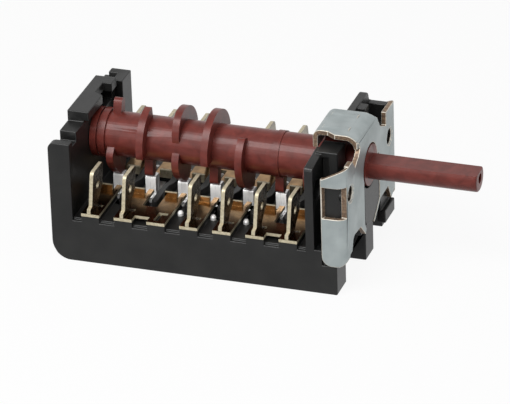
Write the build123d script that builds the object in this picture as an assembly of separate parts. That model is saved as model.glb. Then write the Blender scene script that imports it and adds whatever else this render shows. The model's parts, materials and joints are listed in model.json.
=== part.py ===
from build123d import *
import math
import os

os.makedirs("parts", exist_ok=True)

# Oven selector switch, in millimetres.
# The origin is where the shaft axis meets the outer face of the mounting bracket.
# +X runs along the shaft towards the knob, -Y is the front terminal row, +Z is up.

# Switching positions, counted from the left end
POSITIONS = 7
PITCH = 7.5
STRIP_X1 = -58.4
CAM_OFFSET = 0.8

# Screw holes and sheet of the bracket; the base is as deep as the bracket is wide
SCREW_HALF_SPACING = 14.0
SCREW_HOLE_R = 1.7
SCREW_MOUTH_R = 2.1
SCREW_MOUTH_H = 0.25
SCREW_RELIEF_R = 2.3
SCREW_RELIEF_X = -9.1
SHEET_T = 1.1
SHEET_GAP = 0.05
PLATE_FRONT_Y = SCREW_HALF_SPACING + 3.6
PLATE_REAR_Y = SCREW_HALF_SPACING + 4.35
LEG_PROUD = 0.45

# Moulded base
HALF_DEPTH = PLATE_FRONT_Y - LEG_PROUD
FLOOR_Z = -23.3
DECK_Z = -13.0
PAD_TOP_Z = -12.1
RAIL_LEFT_X = -67.55
RAIL_CORNER_R = 4.4
RAIL_DEPTH = 1.8
RAIL_LEDGE = 0.5
FLANGE_TOP_Z = 4.75
FLANGE_R = 1.6
WALL_LEFT_X = -66.3
WALL_INNER_X = -62.5
WALL_TOP_Z = 8.15
BODY_RIGHT_X = -5.6
RAIL_RIGHT_X = -2.5
REAR_WALL_X = -9.6
FRONT_WALL_X = -9.45

# Brass strips
STRIP_T = 0.7
STRIP_W = 4.1
STRIP_TOP_Z = PAD_TOP_Z + STRIP_T
STRIP_END_Y = 4.6
ARM_X0 = 0.9
ARM_END_Y = 2.5
LIP_T = 0.6
LIP_TOP_Z = -10.2
BUS_OUTER_Y = HALF_DEPTH - 2.05
BUS_W = 4.9
BUS_INNER_Y = BUS_OUTER_Y - BUS_W
FRONT_GROUPS = ((1,), (2, 3), (4,), (5,), (6, 7))
REAR_GROUPS = ((1,), (2,), (3, 4), (5,), (6, 7))

# Blade tabs
TAB_T = 0.8
TAB_W = 6.3
TAB_FOOT_X = -0.3
TAB_FOOT_W = 3.5
TAB_LEAN_DEG = 4.2
TAB_TOP_FRONT_Z = -1.8
TAB_TOP_REAR_Z = -0.5
TAB_OUTER_Y = HALF_DEPTH - 1.05
TAB_INNER_Y = TAB_OUTER_Y - TAB_W
TAB_HOLE_R = 0.85
FRONT_TABS = (1, 2, 4, 5, 6, 7)
REAR_TABS = (1, 2, 3, 5, 6, 7)

# Camshaft, one moulding from the left journal to the knob end
BODY_R = 4.95
SHAFT_R = 3.0
SHAFT_FLAT_Z = 1.6
SHAFT_END_X = 24.4
SHAFT_HOLE_R = 1.1
COLLAR_R = 5.5
COLLAR_X = ((-62.35, -60.9), (-60.5, -59.0))
JOURNAL_R = 2.0
JOURNAL_END_X = -65.1
NECK_R = 4.6
NECK_END_X = 0.1
RUNNING_GAP = 0.05
CAM_W = 1.6
FINGER_W = 1.9
CAM_TIP_R = 9.2
CAM_TIP_HIGH_R = 8.85
HIGH_POSITIONS = (2, 4, 6)

# Star wheel and its detent
WHEEL_X0 = -8.9
WHEEL_X1 = -4.8
WHEEL_TIP_R = 8.9
WHEEL_VALLEY_R = 8.0
WHEEL_GAP = 0.3
NOTCHES = 12
WHEEL_CLEAR_R = WHEEL_TIP_R + WHEEL_GAP
BALL_R = 2.0
BALL_Z = -10.2
DETENT_BORE_R = BALL_R + RUNNING_GAP
DETENT_FLOOR_Z = -20.6

# Bridge contacts and their springs
BRIDGE_GAP = 0.1
BRIDGE_T = 0.5
HUMP_W = 2.4
HUMP_HALF_Y = 1.25
WING_TOP_Z = -13.2
WING_HALF_Y = 5.0
WING_HALF_W = 1.3
POCKET_HALF_W = WING_HALF_W + 0.3
POCKET_HALF_Y = WING_HALF_Y + 0.6
POCKET_FLOOR_Z = -14.9
BUTTON_R = 0.5
BUTTON_H = 0.25
BUTTON_Y = 3.4
BUTTON_X = 0.65
SPRING_WIRE_R = 0.16
SPRING_R = 1.1
SPRING_BORE_R = 1.6
SPRING_FLOOR_Z = -21.9
SEAT = 0.02

# Ribs and strip rivets between the positions
RIB_W = 1.5
RIB_TOP_Z = -10.85
RIB_NOSE_Y = HALF_DEPTH - 8.55
RIB_FRONT_X = 3.4
RIB_REAR_X = 4.1
RIVET_R = 0.65
RIVET_X = 2.25
RIVET_Y = HALF_DEPTH - 7.65
RIVET_TOP_Z = -12.0
RIVET_POSITIONS = (2, 3, 4, 5, 6)

# Pressed steel bracket
LEG_X0 = -5.7
LEG_FOOT_Z = -16.3
LEG_TOP_Z = 6.9
BEND_R = 2.5
REAR_BEND_R = 1.2
FLAT_FRONT_Y = PLATE_FRONT_Y - BEND_R
FLAT_REAR_Y = PLATE_REAR_Y - REAR_BEND_R
PLATE_HOLE_R = 4.9
SLOT_FRONT_Y = 4.5
SLOT_REAR_Y = 6.3
SLOT_GAP = 0.15
ROOF_Z = WHEEL_CLEAR_R + SHEET_T
ROOF_FRONT_Y = 7.9
ROOF_LIP_FRONT_Y = 6.65
ROOF_REAR_Y = 4.2
ROOF_LIP_X = -10.7
ROOF_LIP_Z = 6.2
ROOF_LIP_R = 1.8
ROOF_BEND_R = 3.0
BEAD_H = 0.25
BEAD_Y = (-4.6, 1.7)


def strip_x(k):
    """Centre of front strip k along the shaft."""
    return STRIP_X1 + PITCH * (k - 1)


def cam_x(k):
    """Plane of cam and bridge k along the shaft."""
    return strip_x(k) + CAM_OFFSET


def block(x0, x1, y0, y1, z0, z1):
    """Rectangular block between two corners."""
    centre = ((x0 + x1) / 2, (y0 + y1) / 2, (z0 + z1) / 2)
    return Pos(*centre) * Box(x1 - x0, y1 - y0, z1 - z0)


def rod_x(radius, x0, x1, y=0.0, z=0.0):
    """Round rod along X."""
    return Pos((x0 + x1) / 2, y, z) * Rot(0, 90, 0) * Cylinder(radius, x1 - x0)


def rod_z(radius, z0, z1, x, y):
    """Round rod along Z."""
    return Pos(x, y, (z0 + z1) / 2) * Cylinder(radius, z1 - z0)


def prism_x(points, x0, x1):
    """Outline of (y, z) points carried along X."""
    face = Plane.YZ.offset(x0) * Polygon(*points, align=None)
    return extrude(face, amount=x1 - x0, dir=(1, 0, 0))


def prism_y(points, y0, y1):
    """Outline of (x, z) points carried along Y."""
    face = Plane.XZ.offset(-y0) * Polygon(*points, align=None)
    return extrude(face, amount=y1 - y0, dir=(0, 1, 0))


def prism_z(points, z0, z1):
    """Outline of (x, y) points carried along Z."""
    face = Plane.XY.offset(z0) * Polygon(*points, align=None)
    return extrude(face, amount=z1 - z0, dir=(0, 0, 1))


def arc_points(cx, cy, radius, start, end, steps=8):
    """Points on a circle arc, angles in degrees."""
    points = []
    for i in range(steps + 1):
        angle = math.radians(start + (end - start) * i / steps)
        points.append((cx + radius * math.cos(angle), cy + radius * math.sin(angle)))
    return points


def turned(shape, k):
    """Front part of position k turned half a turn about the cam's upright."""
    return Pos(2 * cam_x(k), 0, 0) * Rot(0, 0, 180) * shape


def coil(radius, wire_r, z0, z1, turns, x, y):
    """Open coil spring standing on z0 and reaching z1."""
    height = z1 - z0 - 2 * wire_r
    path = Helix(pitch=height / turns, height=height, radius=radius)
    start = path.location_at(0)
    wire = Plane(origin=start.position, z_dir=path % 0) * Circle(wire_r)
    return Pos(x, y, z0 + wire_r) * sweep(wire, path=path, is_frenet=True)


# Left end of both rails: one upright line and a large rounded bottom corner
rail_left = [(RAIL_LEFT_X, DECK_Z)]
rail_left += arc_points(RAIL_LEFT_X + RAIL_CORNER_R, FLOOR_Z + RAIL_CORNER_R,
                        RAIL_CORNER_R, 180, 270)


def inside_bend(inner_y):
    """Plan of a block that fills the bracket's front corner bend, back to inner_y."""
    radius = BEND_R - SHEET_T - SHEET_GAP
    plan = [(LEG_X0 + 0.2, inner_y), (LEG_X0 + 0.2, -PLATE_FRONT_Y + SHEET_T + SHEET_GAP)]
    plan += arc_points(-BEND_R, -FLAT_FRONT_Y, radius, 270, 360, 6)
    return plan + [(-SHEET_T - SHEET_GAP, inner_y)]


def left_end():
    """Left end wall: rounded front flange, stepped wall with a brow, rear post."""
    flange = [(RAIL_LEFT_X, DECK_Z)]
    flange += arc_points(RAIL_LEFT_X + FLANGE_R, FLANGE_TOP_Z - FLANGE_R, FLANGE_R, 180, 90)
    flange += [(WALL_INNER_X, FLANGE_TOP_Z), (WALL_INNER_X, DECK_Z)]
    rear = HALF_DEPTH
    brow_x = WALL_INNER_X + 1.1
    notch_x = WALL_INNER_X - 0.9
    brow = [(WALL_LEFT_X, -7.6), (brow_x, -7.6), (brow_x, 1.4), (notch_x, 2.4), (notch_x, 7.2),
            (brow_x, 7.2), (brow_x, 10.4), (WALL_LEFT_X, 10.4)]
    return [prism_y(flange, -rear, -rear + 2.15),
            block(WALL_LEFT_X, WALL_INNER_X, -rear + 1.0, -rear + 4.55, DECK_Z, 3.5),
            block(WALL_LEFT_X, WALL_INNER_X, -rear + 4.55, -7.6, DECK_Z, 5.7),
            block(WALL_LEFT_X, WALL_INNER_X, -7.6, 10.4, DECK_Z, 6.0),
            prism_z(brow, 6.0, WALL_TOP_Z),
            block(WALL_LEFT_X, WALL_INNER_X, 10.4, rear - 1.0, DECK_Z, 5.6),
            block(WALL_INNER_X - 0.4, WALL_INNER_X + 2.0, 11.4, rear, DECK_Z, 6.9),
            block(WALL_INNER_X - 2.55, WALL_INNER_X + 2.0, rear - 2.15, rear, DECK_Z, 6.9)]


def right_end():
    """Right end: slanted front wall, tower, lug, rear walls, end wall and post."""
    rear = HALF_DEPTH
    front = [(-rear, DECK_Z), (-rear, 5.6), (-rear + 0.2, 6.15), (-rear + 0.7, 6.45),
             (-rear + 9.15, 7.1), (-rear + 9.15, DECK_Z)]
    back = [(4.6, DECK_Z), (4.6, 9.8)]
    back += arc_points(rear - 3.2, 8.3, 1.5, 90, 0, 4)
    back += [(rear - 1.2, 7.4), (rear, 6.8), (rear, DECK_Z)]
    tower = block(-8.6, -3.8, -rear + 6.15, -5.6, DECK_Z, 7.45)
    tower = tower - block(-7.5, -5.95, -rear + 5, -rear + 7.35, -4.0, 6.2)
    face = [(-SLOT_FRONT_Y + SLOT_GAP, -3.6), (SLOT_REAR_Y - SLOT_GAP, -3.6),
            (SLOT_REAR_Y - SLOT_GAP, -10.85), (SLOT_REAR_Y - 4.55, -14.3), (-2.9, -13.3),
            (-SLOT_FRONT_Y + 0.4, -11.6)]
    return [prism_x(front, FRONT_WALL_X, -7.5), tower,
            block(-4.0, -SHEET_T - SHEET_GAP, -rear + 6.15, -6.5, DECK_Z, 2.2),
            prism_z(inside_bend(-rear + 6.15), DECK_Z, 2.0),
            prism_x(back, -6.8, -5.0),
            block(-6.8, -3.2, 6.9, 9.6, DECK_Z, 9.6),
            block(REAR_WALL_X, -5.0, rear - 9.15, rear, DECK_Z, 4.8),
            block(-5.4, -SHEET_T - SHEET_GAP, rear - 1.8, rear, DECK_Z, 6.8),
            block(-5.4, -SHEET_T - SHEET_GAP, 10.5, rear - 1.0, DECK_Z, 2.2),
            block(REAR_WALL_X, -4.4, -9.6, 10.0, DECK_Z, -8.0),
            block(-4.4, -1.5, -3.0, 10.0, -16.0, -3.6), prism_x(face, -4.4, -0.1),
            block(-4.4, -1.3, -0.4, 5.2, FLOOR_Z, -14.0),
            block(BODY_RIGHT_X, -4.4, -3.0, 10.0, -16.0, DECK_Z),
            block(BODY_RIGHT_X, -4.4, -0.4, 5.2, FLOOR_Z, -14.0)]


def base_body():
    """Deck, rails, end walls and ribs before anything is cut."""
    rail_outline = rail_left + [(RAIL_RIGHT_X, FLOOR_Z), (RAIL_RIGHT_X, DECK_Z)]
    rail = prism_y(rail_outline, -HALF_DEPTH, -HALF_DEPTH + RAIL_DEPTH)
    rear_rail = prism_y(rail_outline, HALF_DEPTH - RAIL_DEPTH, HALF_DEPTH)
    inner_left = [(x + 1.2, z) for x, z in rail_left]
    body = prism_y(inner_left + [(BODY_RIGHT_X, FLOOR_Z), (BODY_RIGHT_X, DECK_Z)],
                   -HALF_DEPTH + RAIL_DEPTH, HALF_DEPTH - RAIL_DEPTH)
    foot_y = HALF_DEPTH - 6.35
    front_foot = block(BODY_RIGHT_X, RAIL_RIGHT_X, -HALF_DEPTH, -foot_y, FLOOR_Z, DECK_Z)
    rear_foot = block(-2.0, -0.1, foot_y - 0.5, HALF_DEPTH, -19.5, LEG_FOOT_Z - 0.2)
    rear_stem = block(-2.0, -SHEET_T - SHEET_GAP, foot_y - 0.5, HALF_DEPTH, -19.5, DECK_Z)
    rear_root = block(BODY_RIGHT_X, -1.5, foot_y + 0.6, HALF_DEPTH, -16.9, DECK_Z)
    shape = body + [rail, rear_rail, front_foot, rear_foot, rear_stem, rear_root]

    # The open stretch of each rail lies a little below the deck
    for side in (-1, 1):
        y0 = min(side * (HALF_DEPTH + 1), side * (HALF_DEPTH - 0.7))
        y1 = max(side * (HALF_DEPTH + 1), side * (HALF_DEPTH - 0.7))
        shape = shape - block(WALL_INNER_X, FRONT_WALL_X, y0, y1, DECK_Z - RAIL_LEDGE, DECK_Z + 1)
    shape = shape + left_end() + right_end()

    # Pads under the strips and the jogged ribs between positions
    extras = []
    for k in range(1, POSITIONS + 1):
        pad = block(strip_x(k) - STRIP_W / 2, strip_x(k) + STRIP_W / 2, -HALF_DEPTH,
                    -POCKET_HALF_Y - 0.2, DECK_Z - RAIL_LEDGE, PAD_TOP_Z)
        extras += [pad, turned(pad, k)]
    for k in range(1, POSITIONS):
        front = cam_x(k) + RIB_FRONT_X
        rear = cam_x(k) + RIB_REAR_X
        half = RIB_W / 2
        nose = arc_points(front, -RIB_NOSE_Y + half, half, 180, 360)
        tail = arc_points(rear, RIB_NOSE_Y - half, half, 0, 180)
        outline = nose + [(front + half, -1.0), (rear + half, 1.0)] + tail
        outline += [(rear - half, 1.0), (front - half, -1.0)]
        extras.append(prism_z(outline, DECK_Z, RIB_TOP_Z))
    return shape + extras


def base_cuts():
    """Everything taken out of the base, as separate tools."""
    cuts = []
    for k in range(1, POSITIONS + 1):
        x = cam_x(k)
        cuts.append(block(x - POCKET_HALF_W, x + POCKET_HALF_W, -POCKET_HALF_Y,
                          POCKET_HALF_Y, POCKET_FLOOR_Z, DECK_Z + 2))
        cuts.append(rod_z(SPRING_BORE_R, SPRING_FLOOR_Z, POCKET_FLOOR_Z + 1, x, 0))
        # Core-outs from below leave a thin-walled moulding
        hollow = block(x - 2.9, x + 2.9, -HALF_DEPTH + 1.75, -POCKET_HALF_Y - 1.4,
                       FLOOR_Z - 1, -14.8)
        cuts += [hollow, turned(hollow, k)]
    for k in RIVET_POSITIONS:
        rivet = rod_z(RIVET_R * 0.5, DECK_Z - 1.4, DECK_Z + 1, cam_x(k) + RIVET_X, -RIVET_Y)
        cuts += [rivet, turned(rivet, k)]
    cuts.append(rod_x(WHEEL_CLEAR_R, ROOF_LIP_X + WHEEL_GAP, WHEEL_X1 + 0.5))
    cuts.append(rod_x(NECK_R + 0.5, WHEEL_X1 + 0.4, 0))
    cuts.append(rod_z(DETENT_BORE_R, DETENT_FLOOR_Z, 0, (WHEEL_X0 + WHEEL_X1) / 2, 0))
    cuts.append(rod_x(JOURNAL_R + RUNNING_GAP, JOURNAL_END_X - 0.1, WALL_INNER_X + 2))
    # Pocket in the inner side of the left wall, under its rear half
    cuts.append(block(WALL_INNER_X - 2.7, WALL_INNER_X + 1.2, 1.8, 10.0, 3.0, 6.0))
    for y in (-SCREW_HALF_SPACING, SCREW_HALF_SPACING):
        cuts.append(rod_x(SCREW_RELIEF_R, SCREW_RELIEF_X, 0, y))
    # Recess in the front rail where the bracket's leg lies
    leg_inner = PLATE_FRONT_Y - SHEET_T - SHEET_GAP
    cuts.append(block(LEG_X0 - 0.1, 1, -PLATE_FRONT_Y - 1, -leg_inner, LEG_FOOT_Z - 0.2, 12))
    return cuts


def strip(group, front=True):
    """Brass strip for one position, or for two joined by a bus web."""
    pieces = []
    slots = []
    for k in group:
        x = strip_x(k)
        left = x - STRIP_W / 2
        right = x + STRIP_W / 2
        outline = [(left, -HALF_DEPTH - 0.1), (right, -HALF_DEPTH - 0.1), (right, -ARM_END_Y),
                   (x + ARM_X0, -ARM_END_Y), (x + ARM_X0, -STRIP_END_Y), (left, -STRIP_END_Y)]
        blade = prism_z(outline, PAD_TOP_Z, STRIP_TOP_Z)
        lip = block(left, x + ARM_X0 - 0.15, -STRIP_END_Y - LIP_T, -STRIP_END_Y,
                    PAD_TOP_Z, LIP_TOP_Z)
        button = rod_z(BUTTON_R, PAD_TOP_Z - BUTTON_H, PAD_TOP_Z, cam_x(k) + BUTTON_X, -BUTTON_Y)
        # Seven-shaped slot that takes the foot of a tab
        foot = x + TAB_FOOT_X
        slot_end = -TAB_OUTER_Y + TAB_FOOT_W + 0.1
        slots.append(block(foot - 0.5, foot + 0.5, -TAB_OUTER_Y - 0.1, slot_end,
                           PAD_TOP_Z - 1, STRIP_TOP_Z + 1))
        slots.append(block(foot, foot + 1.7, slot_end - 0.9, slot_end,
                           PAD_TOP_Z - 1, STRIP_TOP_Z + 1))
        part = blade + [lip, button]
        pieces.append(part if front else turned(part, k))
        if not front:
            slots[-2:] = [turned(s, k) for s in slots[-2:]]
    if len(group) > 1:
        x0 = strip_x(group[0])
        x1 = strip_x(group[1])
        web = block(x0, x1, -BUS_OUTER_Y, -BUS_INNER_Y, PAD_TOP_Z, STRIP_TOP_Z)
        if not front:
            shift = 2 * CAM_OFFSET
            web = block(x0 + shift, x1 + shift, BUS_INNER_Y, BUS_OUTER_Y,
                        PAD_TOP_Z, STRIP_TOP_Z)
        pieces.append(web)
    return pieces[0] + pieces[1:] - slots if len(pieces) > 1 else pieces[0] - slots


def tab(k, front=True):
    """Blade tab with a locating hole, leaning a little towards the shaft end."""
    top = TAB_TOP_FRONT_Z if front else TAB_TOP_REAR_Z
    clear = STRIP_TOP_Z + 0.04
    foot = PAD_TOP_Z + 0.08
    outer = -TAB_OUTER_Y
    foot_end = outer + TAB_FOOT_W
    outline = [(-HALF_DEPTH - 0.05, clear), (-HALF_DEPTH - 0.05, -10.3), (outer, -10.1)]
    outline += arc_points(outer + 1.0, top - 1.0, 1.0, 180, 90, 4)
    outline += arc_points(-TAB_INNER_Y - 1.0, top - 1.0, 1.0, 90, 0, 4)
    outline += [(-TAB_INNER_Y, -7.6), (foot_end + 0.6, -10.1), (foot_end, clear),
                (foot_end, foot), (outer, foot), (outer, clear)]
    blade = prism_x(outline, -TAB_T / 2, TAB_T / 2)
    blade = blade - rod_x(TAB_HOLE_R, -TAB_T, TAB_T, -(TAB_OUTER_Y + TAB_INNER_Y) / 2, -6.2)
    tongue = block(-TAB_T / 2, 1.3, foot_end - 0.7, foot_end, foot, STRIP_TOP_Z)
    shape = Pos(0, 0, STRIP_TOP_Z) * Rot(0, TAB_LEAN_DEG, 0) * Pos(0, 0, -STRIP_TOP_Z) * blade
    shape = Pos(strip_x(k) + TAB_FOOT_X, 0, 0) * (shape + tongue)
    return shape if front else turned(shape, k)


def polar_point(table, angle):
    """Radius of a cam outline at an angle, straight between the table's entries."""
    for (a0, r0), (a1, r1) in zip(table, table[1:]):
        if a0 <= angle <= a1:
            return r0 + (r1 - r0) * (angle - a0) / (a1 - a0)
    return BODY_R


def polar_disc(radius_at, x0, x1, step=3):
    """Disc along X whose outline radius depends on the angle from +Y."""
    points = []
    for angle in range(0, 360, step):
        radius = radius_at(angle)
        turn = math.radians(angle)
        points.append((radius * math.cos(turn), radius * math.sin(turn)))
    return prism_x(points, x0, x1)


def finger(tip_r, centre_deg, x):
    """Narrow radial finger with a rounded tip."""
    half = 1.1
    outline = [(0, -half)] + arc_points(tip_r - half, 0, half, -90, 90) + [(0, half)]
    return Rot(centre_deg, 0, 0) * prism_x(outline, x - FINGER_W / 2, x + FINGER_W / 2)


# Cam outlines as (angle, radius); 0 is the rear, 90 up, 180 the front, 270 down
TIP = CAM_TIP_R
CAM_OUTLINES = {
    1: ((193, 4.95), (198, 5.8), (204, 6.7), (215, 7.3), (242, 7.9), (261, TIP), (276, TIP),
        (287, 7.4), (291, 4.95)),
    2: ((90, 4.95), (93, 7.6), (195, 7.6), (198, 4.95)),
    3: ((9, 4.95), (12, 8.0), (102, 8.0), (117, 7.5), (138, 6.4), (159, 4.95)),
    4: ((9, 4.95), (12, 8.1), (189, 8.1), (195, 4.95)),
    5: ((123, 4.95), (132, 6.4), (165, 7.2), (192, 7.6), (231, 8.3), (258, 8.6), (264, TIP),
        (276, TIP), (285, 7.2), (291, 4.95)),
    6: ((0, 5.15), (360, 5.15)),
    7: ((180, 4.95), (198, 6.5), (231, 7.6), (264, TIP), (276, TIP), (288, 7.2), (294, 4.95)),
}
LOWER_3 = ((186, 4.95), (204, 6.5), (219, 7.3), (249, 8.4), (264, TIP), (276, TIP),
           (288, 7.6), (294, 4.95))
FINGERS = ((1, 8.1, 77), (2, CAM_TIP_HIGH_R, 262), (4, CAM_TIP_HIGH_R, 262),
           (6, CAM_TIP_HIGH_R, 262))


def camshaft():
    """Red-brown moulding: journal, collars, seven cams, star wheel and D-shaft."""
    shape = rod_x(BODY_R, COLLAR_X[0][0], WHEEL_X0)
    shape = shape + rod_x(JOURNAL_R, JOURNAL_END_X, COLLAR_X[0][0])
    for x0, x1 in COLLAR_X:
        shape = shape + rod_x(COLLAR_R, x0, x1)
    for k, table in CAM_OUTLINES.items():
        x = cam_x(k)
        shape = shape + polar_disc(lambda a, t=table: polar_point(t, a), x - CAM_W / 2,
                                   x + CAM_W / 2)
    x = cam_x(3)
    shape = shape + polar_disc(lambda a: polar_point(LOWER_3, a), x - CAM_W / 2, x + CAM_W / 2)
    for k, tip_r, angle in FINGERS:
        shape = shape + finger(tip_r, angle, cam_x(k))
    middle = (WHEEL_TIP_R + WHEEL_VALLEY_R) / 2
    swing = (WHEEL_TIP_R - WHEEL_VALLEY_R) / 2

    def star(angle):
        return middle - swing * math.cos(math.radians(NOTCHES * (angle - 270)))

    shape = shape + polar_disc(star, WHEEL_X0, WHEEL_X1)
    shape = shape + rod_x(NECK_R, WHEEL_X1, NECK_END_X)
    stem = rod_x(SHAFT_R, NECK_END_X - 1, SHAFT_END_X)
    stem = fillet(stem.edges().group_by(Axis.X)[-1], 0.5)
    stem = stem - block(NECK_END_X, SHAFT_END_X + 1, -4, 4, SHAFT_FLAT_Z, SHAFT_R + 1)
    stem = stem - rod_x(SHAFT_HOLE_R, SHAFT_END_X - 3.0, SHAFT_END_X + 1)
    return shape + stem


def bridge(k):
    """Silver-plated bridge: hat-shaped hump with a wing towards each terminal row."""
    tip = CAM_TIP_HIGH_R if k in HIGH_POSITIONS else CAM_TIP_R
    top = -tip - BRIDGE_GAP
    low = WING_TOP_Z - BRIDGE_T
    y = HUMP_HALF_Y
    inner = y - BRIDGE_T
    outline = [(-WING_HALF_Y, low), (-inner, low), (-inner, top - BRIDGE_T),
               (inner, top - BRIDGE_T), (inner, low), (WING_HALF_Y, low),
               (WING_HALF_Y, WING_TOP_Z), (y, WING_TOP_Z), (y, top - 0.5), (y - 0.15, top - 0.15),
               (y - 0.5, top), (-y + 0.5, top), (-y + 0.15, top - 0.15), (-y, top - 0.5),
               (-y, WING_TOP_Z), (-WING_HALF_Y, WING_TOP_Z)]
    x = cam_x(k)
    shape = prism_x(outline, x - HUMP_W / 2, x + HUMP_W / 2)
    for side in (-1, 1):
        wing = block(x - WING_HALF_W, x + WING_HALF_W, min(side * 2.2, side * WING_HALF_Y),
                     max(side * 2.2, side * WING_HALF_Y), low, WING_TOP_Z)
        button = rod_z(BUTTON_R, WING_TOP_Z, WING_TOP_Z + BUTTON_H, x - side * BUTTON_X,
                       side * BUTTON_Y)
        shape = shape + [wing, button]
    return shape


def leg(outer_y, bend_r, steps):
    """Rear leg of the bracket with its bend, from the flat plate round to the rail."""
    centre_y = outer_y - bend_r
    inner_r = max(bend_r - SHEET_T, 0.05)
    plan = [(LEG_X0, outer_y)] + arc_points(-bend_r, centre_y, bend_r, 90, 0, steps)
    plan += arc_points(-SHEET_T - inner_r, outer_y - SHEET_T - inner_r, inner_r, 0, 90, steps)
    plan += [(LEG_X0, outer_y - SHEET_T)]
    top = LEG_TOP_Z
    side = [(LEG_X0, top - 2.5), (LEG_X0 + 0.5, top - 2.5), (-2.0, top - 0.8), (-0.5, top - 0.2),
            (0.0, top), (0.0, LEG_FOOT_Z + 2.3)]
    side += arc_points(-2.2, LEG_FOOT_Z + 2.2, 2.2, 0, -90)
    side += arc_points(LEG_X0 + 2.2, LEG_FOOT_Z + 2.2, 2.2, -90, -180)
    return prism_z(plan, LEG_FOOT_Z, top) & prism_y(side, centre_y, outer_y + 1)


def bracket():
    """Zinc-plated bracket: plate, two legs, and the roof over the wheel."""
    bend_z = ROOF_Z - ROOF_BEND_R
    hole_y = SCREW_HALF_SPACING
    outline = [(-FLAT_FRONT_Y, LEG_TOP_Z), (-hole_y + 1.5, LEG_TOP_Z), (-hole_y + 3.4, 4.5),
               (-9.4, 5.3), (-8.2, 5.8), (-7.3, 6.7), (-6.95, bend_z), (6.4, bend_z), (7.2, 6.0),
               (7.8, 5.5), (hole_y - 3.0, 4.0), (hole_y - 2.4, 3.9), (hole_y - 2.3, LEG_TOP_Z),
               (FLAT_REAR_Y, LEG_TOP_Z), (FLAT_REAR_Y, -14.0), (hole_y + 0.6, -15.3),
               (hole_y - 0.6, -13.0), (hole_y - 1.6, -11.4), (SLOT_REAR_Y + 0.6, -11.5),
               (SLOT_REAR_Y - 3.6, -14.7), (SLOT_REAR_Y - 4.2, -14.9), (SLOT_REAR_Y - 4.4, -14.5),
               (SLOT_REAR_Y, -11.0), (SLOT_REAR_Y, 0), (-SLOT_FRONT_Y, 0),
               (-SLOT_FRONT_Y, -11.0), (-SLOT_FRONT_Y + 0.1, -12.2), (-3.5, -13.8),
               (-4.2, -14.7), (-7.5, -11.3), (-hole_y + 2.1, -10.9), (-hole_y + 1.1, -11.5),
               (-hole_y + 0.3, -13.9), (-FLAT_FRONT_Y, -14.1)]
    plate = prism_x(outline, -SHEET_T, 0)
    plate = plate - rod_x(PLATE_HOLE_R, -5, 5)

    # Front leg with a window that runs into the bend, its left side sloping inwards
    window = [(LEG_X0 + 0.25, -PLATE_FRONT_Y - 0.01), (0.1, -PLATE_FRONT_Y - 0.01),
              (0.1, -PLATE_FRONT_Y + 1.46), (LEG_X0 + 0.85, -PLATE_FRONT_Y + 1.46)]
    front_leg = leg(PLATE_FRONT_Y, BEND_R, 8).mirror(Plane.XZ) - prism_z(window, -4.9, 2.5)
    plate = plate + [front_leg, leg(PLATE_REAR_Y, REAR_BEND_R, 4)]

    # Screw holes, cut last because the front one reaches into the bend
    for y in (-hole_y, hole_y):
        plate = plate - rod_x(SCREW_HOLE_R, -5, 5, y)
        mouth = Pos(-SCREW_MOUTH_H / 2, y, 0) * Rot(0, 90, 0)
        plate = plate - mouth * Cone(SCREW_HOLE_R, SCREW_MOUTH_R, SCREW_MOUTH_H)

    # Roof: bend over the top, flat with two beads, and a lip bent down at the far edge
    cx = -ROOF_BEND_R
    lip_x = ROOF_LIP_X + ROOF_LIP_R
    profile = arc_points(cx, bend_z, ROOF_BEND_R, 0, 90)
    profile += arc_points(lip_x, ROOF_Z - ROOF_LIP_R, ROOF_LIP_R, 90, 180)
    profile += [(ROOF_LIP_X, ROOF_LIP_Z), (ROOF_LIP_X + SHEET_T, ROOF_LIP_Z)]
    profile += arc_points(lip_x, ROOF_Z - ROOF_LIP_R, ROOF_LIP_R - SHEET_T, 180, 90)
    profile += arc_points(cx, bend_z, ROOF_BEND_R - SHEET_T, 90, 0)
    end = ROOF_LIP_X - 1
    plan = [(end, -ROOF_LIP_FRONT_Y), (-7.3, -ROOF_LIP_FRONT_Y), (-5.4, -ROOF_FRONT_Y),
            (-1.0, -ROOF_FRONT_Y), (-0.5, -7.7), (-0.2, -7.0), (1.0, -6.95), (1.0, 6.4),
            (-0.2, 6.1), (-0.6, 5.2), (-1.4, 4.6), (-3.0, ROOF_REAR_Y)]
    plan += arc_points(ROOF_LIP_X + 1.5, ROOF_REAR_Y - 1.5, 1.5, 90, 180)
    plan += [(end, ROOF_REAR_Y - 1.5)]
    roof = prism_y(profile, -ROOF_FRONT_Y, 6.4) & prism_z(plan, ROOF_LIP_Z - 1, ROOF_Z + 1)
    for y in BEAD_Y:
        bead = prism_x([(y - 1.0, ROOF_Z - 0.3), (y - 1.0, ROOF_Z), (y - 0.5, ROOF_Z + BEAD_H),
                        (y + 0.5, ROOF_Z + BEAD_H), (y + 1.0, ROOF_Z), (y + 1.0, ROOF_Z - 0.3)],
                       lip_x, cx)
        roof = roof + bead
    return plate + roof


def rivets(front=True):
    """Small domed rivets beside the strips, one shape repeated."""
    group = []
    for k in RIVET_POSITIONS:
        x = cam_x(k) + RIVET_X
        rim_z = DECK_Z + (RIVET_TOP_Z - DECK_Z) * 0.6
        head = rod_z(RIVET_R, DECK_Z, rim_z, x, -RIVET_Y)
        dome = Pos(x, -RIVET_Y, (rim_z + RIVET_TOP_Z) / 2)
        dome = dome * Cone(RIVET_R, RIVET_R * 0.6, RIVET_TOP_Z - rim_z)
        shank = rod_z(RIVET_R * 0.5, DECK_Z - 1.4, DECK_Z, x, -RIVET_Y)
        rivet = head + [dome, shank]
        group.append(rivet if front else turned(rivet, k))
    return Compound(children=group)


def save(name, shape):
    """Write one named piece."""
    export_step(shape, "parts/" + name + ".step")


base = base_body() - base_cuts()
save("base", base)
save("camshaft", camshaft())
save("mounting_bracket", bracket())

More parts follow.
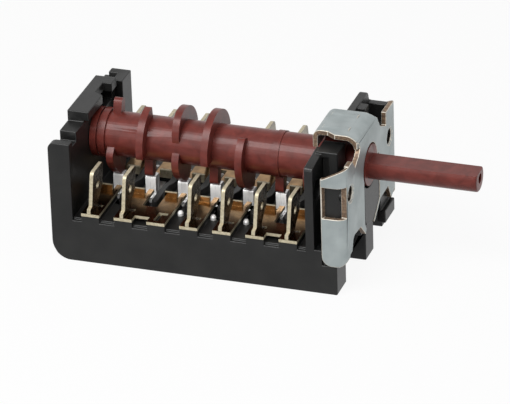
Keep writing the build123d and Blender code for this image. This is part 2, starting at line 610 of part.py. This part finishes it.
for group in FRONT_GROUPS:
    save("front_strip_" + "_".join(str(k) for k in group), strip(group))
for group in REAR_GROUPS:
    save("rear_strip_" + "_".join(str(k) for k in group), strip(group, front=False))
for k in FRONT_TABS:
    save("front_tab_" + str(k), tab(k))
for k in REAR_TABS:
    save("rear_tab_" + str(k), tab(k, front=False))

contact_spring = coil(SPRING_R, SPRING_WIRE_R, SPRING_FLOOR_Z + SEAT,
                      WING_TOP_Z - BRIDGE_T - SEAT, 6, 0, 0)
for k in range(1, POSITIONS + 1):
    save("bridge_contact_" + str(k), bridge(k))
    save("contact_spring_" + str(k), Pos(cam_x(k), 0, 0) * contact_spring)

wheel_x = (WHEEL_X0 + WHEEL_X1) / 2
save("detent_ball", Pos(wheel_x, 0, BALL_Z) * Sphere(BALL_R))
save("detent_spring", coil(1.5, 0.2, DETENT_FLOOR_Z + SEAT, -11.68, 6, wheel_x, 0))
save("front_rivets", rivets())
save("rear_rivets", rivets(front=False))
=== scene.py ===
# %% [markdown]
# # An oven selector switch, piece by piece
# The real object is a rotary cam switch: a black moulded base carries two rows of
# brass terminals, a red-brown cam moulding turns over them, and a zinc-plated bracket
# holds the shaft end. The solid model made earlier is the frame, so it is loaded first
# and every piece here is made to sit where its solid sits.

# %% Load the frame
import bpy
import bmesh
import json
import math
from mathutils import Matrix, Vector
from mathutils.bvhtree import BVHTree


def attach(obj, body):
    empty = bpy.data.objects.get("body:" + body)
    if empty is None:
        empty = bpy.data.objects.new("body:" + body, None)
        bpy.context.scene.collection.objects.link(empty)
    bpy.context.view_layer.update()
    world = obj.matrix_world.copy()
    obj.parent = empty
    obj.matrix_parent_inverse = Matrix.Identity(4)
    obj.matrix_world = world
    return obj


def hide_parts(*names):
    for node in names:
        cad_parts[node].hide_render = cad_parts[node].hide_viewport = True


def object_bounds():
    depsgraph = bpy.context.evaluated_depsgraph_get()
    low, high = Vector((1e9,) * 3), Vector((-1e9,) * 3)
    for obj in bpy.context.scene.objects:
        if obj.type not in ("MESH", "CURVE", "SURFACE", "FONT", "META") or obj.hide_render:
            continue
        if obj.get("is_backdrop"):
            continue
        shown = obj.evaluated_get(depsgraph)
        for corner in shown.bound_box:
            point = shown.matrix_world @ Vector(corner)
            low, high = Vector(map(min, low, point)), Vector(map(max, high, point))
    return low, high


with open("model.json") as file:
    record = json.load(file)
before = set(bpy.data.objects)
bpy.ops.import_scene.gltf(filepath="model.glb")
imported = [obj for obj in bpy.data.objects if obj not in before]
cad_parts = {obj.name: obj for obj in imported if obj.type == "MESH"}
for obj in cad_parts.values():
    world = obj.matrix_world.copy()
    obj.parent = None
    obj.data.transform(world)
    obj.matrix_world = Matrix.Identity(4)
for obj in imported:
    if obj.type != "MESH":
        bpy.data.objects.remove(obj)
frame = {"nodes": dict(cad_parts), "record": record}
cad_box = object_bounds()
nodes = frame["nodes"]
print("solids in the frame:", len(nodes))

# %% [markdown]
# Everything is measured in millimetres on the real switch, while Blender's unit here is
# the metre. One constant turns one into the other, so each number below can be read as
# a real size.

# %% Millimetres
MM = 0.001
print("the solids are", round((cad_box[1][0] - cad_box[0][0]) / MM, 2), "mm long")

# %% [markdown]
# Colours are picked as sRGB hex values, as a paint program shows them. Shaders add up
# light, so they need linear values. The sRGB curve is a short straight piece near black
# and a power above it, and one function undoes it for all the colours.

# %% Colour helper


def linear(hex_code):
    parts = [int(hex_code[i:i + 2], 16) / 255 for i in (0, 2, 4)]
    return tuple(c / 12.92 if c <= 0.04045 else ((c + 0.055) / 1.055) ** 2.4
                 for c in parts) + (1.0,)


print("mid grey in linear light:", [round(c, 3) for c in linear("808080")])

# %% [markdown]
# A material is a small network of nodes. One helper adds a node and either links or
# sets each input, so that a finish reads as a short list of what feeds what.

# %% Node helpers


def add(tree, kind, inputs=None, **settings):
    node = tree.nodes.new(kind)
    for key, value in settings.items():
        setattr(node, key, value)
    for key, value in (inputs or {}).items():
        if isinstance(value, bpy.types.NodeSocket):
            tree.links.new(value, node.inputs[key])
        else:
            node.inputs[key].default_value = value
    return node


def new_finish(name):
    material = bpy.data.materials.new(name)
    material.use_nodes = True
    material.node_tree.nodes.clear()
    tree = material.node_tree
    place = add(tree, "ShaderNodeTexCoord").outputs["Object"]
    return material, tree, place


finishes = {}
print("helpers:", [helper.__name__ for helper in (add, new_finish)])

# %% [markdown]
# Nothing real has one flat colour. Each finish below starts from noise with a stated
# grain size in millimetres: one noise moves the colour between a darker and a lighter
# tone, another moves the roughness and raises the skin by a few hundredths of a
# millimetre.
#
# The base is a phenolic thermoset, pressed hot in a steel mould. It is near black, a
# little uneven where the powder flowed, and its skin is satin: the grain of the filler
# is about 0.3 mm, and the flow marks are several millimetres across. Its shine is set
# below that of a clear plastic, because the filler breaks the skin up.

# %% Black phenolic thermoset


def phenolic():
    material, tree, place = new_finish("black_phenolic_thermoset")
    flow = add(tree, "ShaderNodeTexNoise", {"Vector": place, "Scale": 1 / (6 * MM),
                                            "Detail": 4.0})
    grain = add(tree, "ShaderNodeTexNoise", {"Vector": place, "Scale": 1 / (0.3 * MM),
                                             "Detail": 2.0})
    tone = add(tree, "ShaderNodeValToRGB", {"Fac": flow.outputs["Fac"]})
    tone.color_ramp.elements[0].position = 0.3
    tone.color_ramp.elements[0].color = linear("111111")
    tone.color_ramp.elements[1].position = 0.75
    tone.color_ramp.elements[1].color = linear("1D1D1C")
    polish = add(tree, "ShaderNodeMapRange", {"Value": grain.outputs["Fac"],
                                              "To Min": 0.3, "To Max": 0.44})
    bump = add(tree, "ShaderNodeBump", {"Height": grain.outputs["Fac"], "Strength": 0.12,
                                        "Distance": 0.03 * MM})
    shader = add(tree, "ShaderNodeBsdfPrincipled",
                 {"Base Color": tone.outputs["Color"], "Roughness": polish.outputs["Result"],
                  "Normal": bump.outputs["Normal"], "Specular IOR Level": 0.3})
    add(tree, "ShaderNodeOutputMaterial", {"Surface": shader.outputs["BSDF"]})
    return material


finishes["black_thermoset"] = phenolic()
print("made:", finishes["black_thermoset"].name)

# %% [markdown]
# The camshaft is a thermoset too, filled with red-brown pigment and moulded in a
# polished tool, so it shines more than the base. Fine swirls of pigment, about 2 mm
# across, keep it from looking like paint.

# %% Red-brown thermoset


def cam_thermoset():
    material, tree, place = new_finish("red_brown_moulded_thermoset")
    swirl = add(tree, "ShaderNodeTexNoise", {"Vector": place, "Scale": 1 / (2.2 * MM),
                                             "Detail": 5.0, "Distortion": 0.6})
    speck = add(tree, "ShaderNodeTexNoise", {"Vector": place, "Scale": 1 / (0.25 * MM),
                                             "Detail": 2.0})
    tone = add(tree, "ShaderNodeValToRGB", {"Fac": swirl.outputs["Fac"]})
    tone.color_ramp.elements[0].position = 0.32
    tone.color_ramp.elements[0].color = linear("511F19")
    tone.color_ramp.elements[1].position = 0.7
    tone.color_ramp.elements[1].color = linear("662B24")
    polish = add(tree, "ShaderNodeMapRange", {"Value": speck.outputs["Fac"],
                                              "To Min": 0.27, "To Max": 0.38})
    bump = add(tree, "ShaderNodeBump", {"Height": speck.outputs["Fac"], "Strength": 0.08,
                                        "Distance": 0.02 * MM})
    shader = add(tree, "ShaderNodeBsdfPrincipled",
                 {"Base Color": tone.outputs["Color"], "Roughness": polish.outputs["Result"],
                  "Normal": bump.outputs["Normal"], "Specular IOR Level": 0.25})
    add(tree, "ShaderNodeOutputMaterial", {"Surface": shader.outputs["BSDF"]})
    return material


finishes["red_brown_thermoset"] = cam_thermoset()
print("made:", finishes["red_brown_thermoset"].name)

# %% [markdown]
# The bracket is mild steel, punched, bent, and plated with zinc in a clear blue bath.
# Zinc is pale and slightly cloudy, with rolling marks along the sheet. The marks are the
# same noise as before, stretched along Z.

# %% Zinc-plated steel


def zinc_plate():
    material, tree, place = new_finish("zinc_plated_steel")
    cloud = add(tree, "ShaderNodeTexNoise", {"Vector": place, "Scale": 1 / (5 * MM),
                                             "Detail": 5.0})
    stretch = add(tree, "ShaderNodeMapping", {"Vector": place,
                                              "Scale": (1.0, 1.0, 0.06)})
    rolled = add(tree, "ShaderNodeTexNoise", {"Vector": stretch.outputs["Vector"],
                                              "Scale": 1 / (0.35 * MM), "Detail": 3.0})
    tone = add(tree, "ShaderNodeValToRGB", {"Fac": cloud.outputs["Fac"]})
    tone.color_ramp.elements[0].position = 0.3
    tone.color_ramp.elements[0].color = linear("8B9393")
    tone.color_ramp.elements[1].position = 0.72
    tone.color_ramp.elements[1].color = linear("A2A9A9")
    polish = add(tree, "ShaderNodeMapRange", {"Value": rolled.outputs["Fac"],
                                              "To Min": 0.38, "To Max": 0.55})
    bump = add(tree, "ShaderNodeBump", {"Height": rolled.outputs["Fac"], "Strength": 0.15,
                                        "Distance": 0.02 * MM})
    shader = add(tree, "ShaderNodeBsdfPrincipled",
                 {"Base Color": tone.outputs["Color"], "Roughness": polish.outputs["Result"],
                  "Normal": bump.outputs["Normal"], "Metallic": 0.75})
    add(tree, "ShaderNodeOutputMaterial", {"Surface": shader.outputs["BSDF"]})
    return material


finishes["zinc_plated_steel"] = zinc_plate()
print("made:", finishes["zinc_plated_steel"].name)

# %% [markdown]
# A punch shears the first part of a sheet and tears the rest. The torn edge is rough,
# holds less plating and looks tan on the steel and pale on the brass. The rim, where
# edge and face meet, is given a pale colour as a painted highlight along the edge.

# %% Punched edges


def punched_edge(name, dark, light):
    material, tree, place = new_finish(name)
    tear = add(tree, "ShaderNodeTexNoise", {"Vector": place, "Scale": 1 / (0.6 * MM),
                                            "Detail": 4.0})
    tone = add(tree, "ShaderNodeValToRGB", {"Fac": tear.outputs["Fac"]})
    tone.color_ramp.elements[0].position = 0.35
    tone.color_ramp.elements[0].color = linear(dark)
    tone.color_ramp.elements[1].position = 0.7
    tone.color_ramp.elements[1].color = linear(light)
    bump = add(tree, "ShaderNodeBump", {"Height": tear.outputs["Fac"], "Strength": 0.4,
                                        "Distance": 0.05 * MM})
    shader = add(tree, "ShaderNodeBsdfPrincipled",
                 {"Base Color": tone.outputs["Color"], "Roughness": 0.5,
                  "Normal": bump.outputs["Normal"], "Metallic": 0.5})
    add(tree, "ShaderNodeOutputMaterial", {"Surface": shader.outputs["BSDF"]})
    return material


finishes["steel_edge"] = punched_edge("punched_steel_edge", "55453A", "8B745D")
finishes["steel_rim"] = punched_edge("rubbed_steel_rim", "B4ADA0", "D2CCC0")
finishes["brass_edge"] = punched_edge("punched_brass_edge", "A2987F", "BDB49C")
print("finishes so far:", len(finishes))

# %% [markdown]
# The other metals differ in colour, in roughness and in which way their grain runs, so
# one function makes them all. The grain of rolled brass runs along the strip and is drawn
# about 0.2 mm wide, coarser than life, so that it shows at this size. The silver and the
# tin are partly metallic only, and their near-white colour is a painted reflection: inside
# the dark base a full mirror would look black.

# %% Brass, silver, tin and steel


def metal(name, dark, light, rough_low, rough_high, grain_mm, stretch_by, metallic=1.0):
    material, tree, place = new_finish(name)
    stretch = add(tree, "ShaderNodeMapping", {"Vector": place, "Scale": stretch_by})
    grain = add(tree, "ShaderNodeTexNoise", {"Vector": stretch.outputs["Vector"],
                                             "Scale": 1 / (grain_mm * MM), "Detail": 3.0})
    stain = add(tree, "ShaderNodeTexNoise", {"Vector": place, "Scale": 1 / (1.8 * MM),
                                             "Detail": 4.0})
    tone = add(tree, "ShaderNodeValToRGB", {"Fac": stain.outputs["Fac"]})
    tone.color_ramp.elements[0].position = 0.3
    tone.color_ramp.elements[0].color = linear(dark)
    tone.color_ramp.elements[1].position = 0.7
    tone.color_ramp.elements[1].color = linear(light)
    polish = add(tree, "ShaderNodeMapRange", {"Value": grain.outputs["Fac"],
                                              "To Min": rough_low, "To Max": rough_high})
    bump = add(tree, "ShaderNodeBump", {"Height": grain.outputs["Fac"], "Strength": 0.2,
                                        "Distance": 0.01 * MM})
    shader = add(tree, "ShaderNodeBsdfPrincipled",
                 {"Base Color": tone.outputs["Color"], "Roughness": polish.outputs["Result"],
                  "Normal": bump.outputs["Normal"], "Metallic": metallic})
    add(tree, "ShaderNodeOutputMaterial", {"Surface": shader.outputs["BSDF"]})
    return material


EVEN = (1.0, 1.0, 1.0)
finishes.update({
    "terminal_brass": metal("rolled_brass_strip", "6E5436", "957650", 0.12, 0.24, 0.2,
                            (1.0, 0.08, 1.0)),
    "tab_brass": metal("tinned_brass_tab", "6C665C", "989082", 0.2, 0.34, 0.2,
                       (1.0, 1.0, 0.08)),
    # Near-white colour with little metallic: a painted reflection of bright surroundings on
    # the silver contacts.
    "silver_plate": metal("silver_contact_painted_reflection", "ECECEC", "FCFCFA", 0.22, 0.36, 0.25,
                          (1.0, 1.0, 0.05), metallic=0.35),
    # Near-white colour with little metallic: a painted reflection of bright surroundings on
    # the rivets.
    "rivet_tin_painted_reflection": metal("tinned_rivet_painted_reflection", "ECECEA", "FBFBFA", 0.35, 0.5, 0.3, EVEN,
                       metallic=0.3),
    # Near-black thread colour: painted shade inside the screw bores.
    "steel_bore_painted_shade": metal("steel_thread_painted_shade", "1E1B19", "332E2A", 0.4, 0.55, 0.3,
                        (0.15, 1.0, 1.0)),
    "spring_steel": metal("drawn_spring_wire", "7A7A7C", "9C9C9E", 0.25, 0.4, 0.15, EVEN),
    "ball_steel": metal("polished_steel_ball", "A8A8AA", "C6C6C8", 0.08, 0.15, 0.5, EVEN),
})
print("finishes:", sorted(finishes))

# %% [markdown]
# The frame says which finish each solid has and which moving body carries it. Each piece
# starts from a copy of its solid's mesh. Points that lie closer than a few thousandths of
# a millimetre are welded, and the triangles on each flat face are merged, so that the
# edges left over are the real ones.

# %% Copy a solid
WELD_MM = 0.004
FLAT_WITHIN = math.radians(0.6)
slots = {s["node"]: s["material_slot"] for s in frame["record"]["subparts"]}
bodies = {node: body for body, members in frame["record"]["behaviour"]["bodies"].items()
          for node in members}


def welded_copy(node):
    mesh = nodes[node].data.copy()
    mesh.materials.clear()
    work = bmesh.new()
    work.from_mesh(mesh)
    bmesh.ops.remove_doubles(work, verts=work.verts, dist=WELD_MM * MM)
    bmesh.ops.dissolve_limit(work, angle_limit=FLAT_WITHIN, verts=work.verts,
                             edges=work.edges)
    work.to_mesh(mesh)
    work.free()
    return mesh


print("bodies:", sorted(set(bodies.values())))

# %% [markdown]
# Sheet metal shows its thickness in another colour than its faces, so the cut faces have
# to be found. Behind a rolled face there is only the sheet's own thickness of metal,
# while behind a cut face there is much more, and a ray sent straight into the metal
# measures it. It starts from the middle of the face's largest triangle, because the
# middle of an L-shaped face can lie outside the face.

# %% Look behind a face
MAIN, CUT_EDGE, SHADED_BORE, HIGHLIGHT_RIM = range(4)
SHEETS = {"mounting_bracket": (1.1, "steel_edge"), "front_tab": (0.8, "brass_edge"),
          "rear_tab": (0.8, "brass_edge"), "front_strip": (0.7, "brass_edge"),
          "rear_strip": (0.7, "brass_edge")}
RAY_START_MM = 0.01
DEEPER_THAN_SHEET = 1.3


def inner_points(mesh):
    """One point well inside each face: the middle of its largest triangle."""
    mesh.calc_loop_triangles()
    largest = {}
    for triangle in mesh.loop_triangles:
        if triangle.area >= largest.get(triangle.polygon_index, (0, None))[0]:
            largest[triangle.polygon_index] = (triangle.area, triangle.center.copy())
    return {index: point for index, (area, point) in largest.items()}


def metal_behind(mesh):
    """Each face with its inner point and the depth of metal behind it, in metres."""
    work = bmesh.new()
    work.from_mesh(mesh)
    tree = BVHTree.FromBMesh(work)
    work.free()
    for index, middle in inner_points(mesh).items():
        face = mesh.polygons[index]
        start = middle - face.normal * (RAY_START_MM * MM)
        hit, _, _, depth = tree.ray_cast(start, -face.normal)
        yield face, middle, depth if hit is not None else 0.0


print("sheets:", {name: thickness for name, (thickness, _) in SHEETS.items()})

# %% [markdown]
# The bracket needs three exceptions. The window in its front leg is cut through the bend,
# where the metal behind a side is as thin as the sheet, so its sides are found by place.
# The two screw bores are coloured dark as painted shade, for the little light that reaches
# into them. And the beads pressed up on the roof are rolled skin, although there is much
# metal behind their flanks.

# %% Mark the cut faces
WINDOW_X, WINDOW_Y, WINDOW_Z = -5.65, (-17.65, -16.13), (-4.95, 2.55)
OUTER_SKIN_Y = -17.5
SCREW_Y, WITHIN_BORE_R = 14.0, 1.75
ABOVE_ROOF_Z = 10.32
FACING_OUT, FACING_IN, ACROSS = -0.98, 0.9, 0.3


def in_window(middle, normal):
    """True on the cut sides of the window in the bracket's front leg."""
    x, y, z = middle / MM
    inside = (x > WINDOW_X and WINDOW_Y[0] < y < WINDOW_Y[1]
              and WINDOW_Z[0] < z < WINDOW_Z[1])
    outer_skin = normal.y < FACING_OUT and y < OUTER_SKIN_Y
    inner_skin = normal.y >= FACING_IN
    return inside and not (outer_skin or inner_skin)


def in_screw_bore(middle, normal):
    x, y, z = middle / MM
    return math.hypot(abs(y) - SCREW_Y, z) < WITHIN_BORE_R and abs(normal.x) < ACROSS


def mark_cut_faces(mesh, sheet_mm, bracket):
    for face, middle, depth in metal_behind(mesh):
        deep = depth > sheet_mm * DEEPER_THAN_SHEET * MM
        on_bead = bracket and middle.z > ABOVE_ROOF_Z * MM
        if bracket and in_screw_bore(middle, face.normal):
            # the bore faces get the dark thread colour, which is painted shade
            face.material_index = SHADED_BORE
        elif (deep and not on_bead) or (bracket and in_window(middle, face.normal)):
            face.material_index = CUT_EDGE


print("screw bores at Y", (-SCREW_Y, SCREW_Y), "mm")

# %% [markdown]
# A solid has razor edges, and no real edge is that sharp: a moulded one has a radius of
# 0.15 to 0.3 mm, a punched one less. A bevel of that size catches the light along each
# edge. On the base it is kept out of two places: the lower left corner, where two arcs
# run out together and a bevel would overshoot, and the bottom of the shaft's bearing,
# where it would reach into the pivot. Where a large flat side meets the facets of an arc
# the edge is kept crisp, because otherwise the arc's shading would streak across it.

# %% Choose the base's edges
SHARP = math.radians(32)
ALMOST_FLAT = math.radians(0.5)
ARC_ZONE_X, ARC_ZONE_Z = -61.0, -21.0
BEARING_X, BEARING_R = -64.8, 2.5
LARGE_SIDE_MM2 = 30.0


def work_on(mesh, change):
    """Run change on an editable copy of the mesh and write it back."""
    work = bmesh.new()
    work.from_mesh(mesh)
    count = change(work)
    work.to_mesh(mesh)
    work.free()
    return count


def weigh_edges(work):
    """Give weight 1 to the sharp edges that the bevel should round."""
    layer = work.edges.layers.float.new("bevel_weight_edge")
    marked = 0
    for edge in work.edges:
        ends = [v.co / MM for v in edge.verts]
        running_out = all(p.x < ARC_ZONE_X and p.z < ARC_ZONE_Z for p in ends)
        in_bearing = all(p.x < BEARING_X and math.hypot(p.y, p.z) < BEARING_R for p in ends)
        sharp = edge.is_manifold and edge.calc_face_angle() > SHARP
        if sharp and not running_out and not in_bearing:
            edge[layer] = 1.0
            marked += 1
    return marked


def keep_sides_flat(work):
    """Make each edge sharp where a large flat side meets the facets of an arc."""
    crisp = 0
    for edge in work.edges:
        if edge.is_manifold and edge.smooth and edge.calc_face_angle() > ALMOST_FLAT:
            if max(f.calc_area() for f in edge.link_faces) > LARGE_SIDE_MM2 * MM * MM:
                edge.smooth = False
                crisp += 1
    return crisp


print("an edge counts as sharp above", round(math.degrees(SHARP)), "degrees")

# %% [markdown]
# Now each solid gets its dressed piece, with the edge radius that its process leaves:
# generous on the mouldings, a hair on the punched metal, none on springs, ball and
# rivets, which have no edges to break. On the base and the bracket the bevel may not
# shrink to fit the shortest edge, or one small notch would thin it everywhere.

# %% Dress the pieces
EDGES_MM = {"base": 0.22, "camshaft": 0.22, "mounting_bracket": 0.12}
OTHER_EDGE_MM = 0.06
NO_EDGE = ("contact_spring", "detent", "front_rivets", "rear_rivets")
RIVETS = ("front_rivets", "rear_rivets")


def round_edges(obj, node, edge_mm):
    bevel = obj.modifiers.new("edge", "BEVEL")
    bevel.width = edge_mm * MM
    bevel.segments = 2
    bevel.limit_method = "ANGLE"
    if node == "base":
        print("edges rounded on the base:", work_on(obj.data, weigh_edges))
        bevel.limit_method = "WEIGHT"
    bevel.angle_limit = SHARP
    bevel.harden_normals = True
    bevel.use_clamp_overlap = node not in ("base", "mounting_bracket")
    # On the bracket the bevel faces take the pale rim colour, a painted highlight along each
    # edge.
    bevel.material = HIGHLIGHT_RIM if node == "mounting_bracket" else -1


def piece(node):
    obj = bpy.data.objects.new(node + "_dressed", welded_copy(node))
    bpy.context.scene.collection.objects.link(obj)
    mesh = obj.data
    mesh.materials.append(finishes["rivet_tin_painted_reflection" if node in RIVETS else slots[node]])
    for polygon in mesh.polygons:
        polygon.use_smooth = True
        polygon.material_index = MAIN
    bracket = node == "mounting_bracket"
    for prefix, (sheet_mm, edge_finish) in SHEETS.items():
        if node.startswith(prefix):
            mesh.materials.append(finishes[edge_finish])
            mark_cut_faces(mesh, sheet_mm, bracket)
    if bracket:
        mesh.materials.append(finishes["steel_bore_painted_shade"])
        # pale rim colour: painted highlight on the bracket's bevelled edges
        mesh.materials.append(finishes["steel_rim"])
    if not node.startswith(NO_EDGE):
        round_edges(obj, node, EDGES_MM.get(node, OTHER_EDGE_MM))
    mesh.set_sharp_from_angle(angle=SHARP)
    if node == "base":
        print("edges kept crisp on its flat sides:", work_on(mesh, keep_sides_flat))
    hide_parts(node)
    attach(obj, bodies[node])
    return obj


dressed = [piece(node) for node in sorted(nodes)]
print("dressed pieces:", len(dressed))

# %% [markdown]
# The photograph has a pure white background, so that is what every ray should meet that
# sees it straight: from the camera, mirrored in the metals, or passed through. All other
# rays should meet an ordinary lit room, or the whiteness would wash out the shadows. One
# helper tells the two kinds of ray apart.

# %% Rays that see the background


def background_rays(tree):
    """1 for the rays that should meet the white background, 0 for the rest."""
    path = add(tree, "ShaderNodeLightPath")
    shiny = add(tree, "ShaderNodeMath", {0: path.outputs["Is Camera Ray"],
                                         1: path.outputs["Is Glossy Ray"]},
                operation="MAXIMUM")
    return add(tree, "ShaderNodeMath", {0: shiny.outputs["Value"],
                                        1: path.outputs["Is Transmission Ray"]},
               operation="MAXIMUM").outputs["Value"]


print("helper:", background_rays.__name__)

# %% [markdown]
# The floor is plain pale paper, 0.05 mm under the lowest point of the base. To those rays
# it mixes 92 parts of white light of its own with 8 parts of its lit surface, so the
# background is as white as in the photograph and the object still has a faint shadow.

# %% Floor
HALF_SIDE = 3.0
FLOOR_Z_MM = -23.35
OWN_LIGHT = 0.92
PAPER_GREY = 0.6

floor_mesh = bpy.data.meshes.new("floor")
corners = [(-HALF_SIDE, -HALF_SIDE, 0), (HALF_SIDE, -HALF_SIDE, 0),
           (HALF_SIDE, HALF_SIDE, 0), (-HALF_SIDE, HALF_SIDE, 0)]
floor_mesh.from_pydata(corners, [], [(0, 1, 2, 3)])
floor = bpy.data.objects.new("floor", floor_mesh)
bpy.context.scene.collection.objects.link(floor)
floor.location = (0, 0, FLOOR_Z_MM * MM)

sweep, tree, _ = new_finish("white_sweep")
paper = add(tree, "ShaderNodeBsdfDiffuse", {"Color": (PAPER_GREY,) * 3 + (1.0,)})
glow = add(tree, "ShaderNodeEmission", {"Color": (1, 1, 1, 1), "Strength": 1.0})
share = add(tree, "ShaderNodeMath", {0: background_rays(tree), 1: OWN_LIGHT},
            operation="MULTIPLY")
both = add(tree, "ShaderNodeMixShader", {"Fac": share.outputs["Value"],
                                         1: paper.outputs["BSDF"],
                                         2: glow.outputs["Emission"]})
add(tree, "ShaderNodeOutputMaterial", {"Surface": both.outputs["Shader"]})
floor_mesh.materials.append(sweep)
floor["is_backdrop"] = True
print("floor at z =", round(floor.location.z / MM, 2), "mm")

# %% [markdown]
# Light comes from a tent: a dim world all round, which the same rays see as white, a
# large soft box above and in front, a weak one lower in front, and a smaller one from the
# right. The soft boxes make the two long highlights that run along the camshaft.

# %% Lights
world = bpy.data.worlds.new("tent")
bpy.context.scene.world = world
world.use_nodes = True
sky = world.node_tree
sky.nodes.clear()
seen = add(sky, "ShaderNodeMixRGB", {"Fac": background_rays(sky),
                                     "Color1": (0.28, 0.28, 0.29, 1),
                                     "Color2": (1, 1, 1, 1)})
back = add(sky, "ShaderNodeBackground", {"Color": seen.outputs["Color"], "Strength": 1.0})
add(sky, "ShaderNodeOutputWorld", {"Surface": back.outputs["Background"]})


def softbox(name, place_mm, aim_mm, size_mm, watts):
    lamp = bpy.data.lights.new(name, "AREA")
    lamp.shape = "RECTANGLE"
    lamp.size = size_mm[0] * MM
    lamp.size_y = size_mm[1] * MM
    lamp.energy = watts
    obj = bpy.data.objects.new(name, lamp)
    obj.location = Vector(place_mm) * MM
    aim = (Vector(aim_mm) - Vector(place_mm)).normalized()
    obj.rotation_euler = aim.to_track_quat("-Z", "Y").to_euler()
    bpy.context.scene.collection.objects.link(obj)
    return obj


boxes = [softbox("top_box", (-130, -300, 420), (-25, 0, -5), (460, 260), 3.6),
         softbox("front_box", (-260, -600, 200), (-25, 0, -5), (300, 160), 0.5),
         softbox("right_box", (600, -80, 220), (0, 0, -5), (260, 260), 1.0)]
print("lamps:", [box.name for box in boxes])

# %% [markdown]
# The camera was worked out from the photograph: a metre away, 17.7 degrees round to the
# right, 27.2 degrees up, and rolled by a degree. The origin of the part lands at pixel
# (370.5, 164.7), so the view axis is turned towards the middle of the picture instead
# of using lens shift.

# %% Camera
AZIMUTH, ELEVATION, ROLL = math.radians(17.73), math.radians(27.16), math.radians(1.14)
DISTANCE = 1.0
FOCAL_PX = 4660.0
WIDTH_PX, HEIGHT_PX = 510, 404
ORIGIN_PX = (370.53, 164.72)
SENSOR_MM = 36.0

backward = Vector((math.sin(AZIMUTH) * math.cos(ELEVATION),
                   -math.cos(AZIMUTH) * math.cos(ELEVATION), math.sin(ELEVATION)))
right = Vector((math.cos(AZIMUTH), math.sin(AZIMUTH), 0))
up = backward.cross(right)
image_x = right * math.cos(ROLL) - up * math.sin(ROLL)
image_y = right * math.sin(ROLL) + up * math.cos(ROLL)
ray = (-backward + image_x * ((WIDTH_PX / 2 - ORIGIN_PX[0]) / FOCAL_PX)
       - image_y * ((HEIGHT_PX / 2 - ORIGIN_PX[1]) / FOCAL_PX)).normalized()
axis_z = -ray
axis_x = (image_x - axis_z * image_x.dot(axis_z)).normalized()
axis_y = axis_z.cross(axis_x)

camera_data = bpy.data.cameras.new("camera")
camera_data.sensor_fit = "HORIZONTAL"
camera_data.sensor_width = SENSOR_MM
camera_data.lens = FOCAL_PX * SENSOR_MM / WIDTH_PX
camera = bpy.data.objects.new("camera", camera_data)
bpy.context.scene.collection.objects.link(camera)
camera.matrix_world = Matrix.Translation(backward * DISTANCE) @ Matrix(
    (axis_x, axis_y, axis_z)).transposed().to_4x4()
bpy.context.scene.camera = camera
bpy.context.scene.view_settings.view_transform = "Standard"
print("lens:", round(camera_data.lens, 1), "mm")

# %% [markdown]
# Last, the size of what will be seen is set beside the size of the solids. The two
# should agree, because dressing a piece never changes how big it is.

# %% Finish
seen_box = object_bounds()
plain = [[list(map(float, corner)) for corner in box] for box in (cad_box, seen_box)]
print("solid box:", plain[0])
print("seen box:", plain[1])
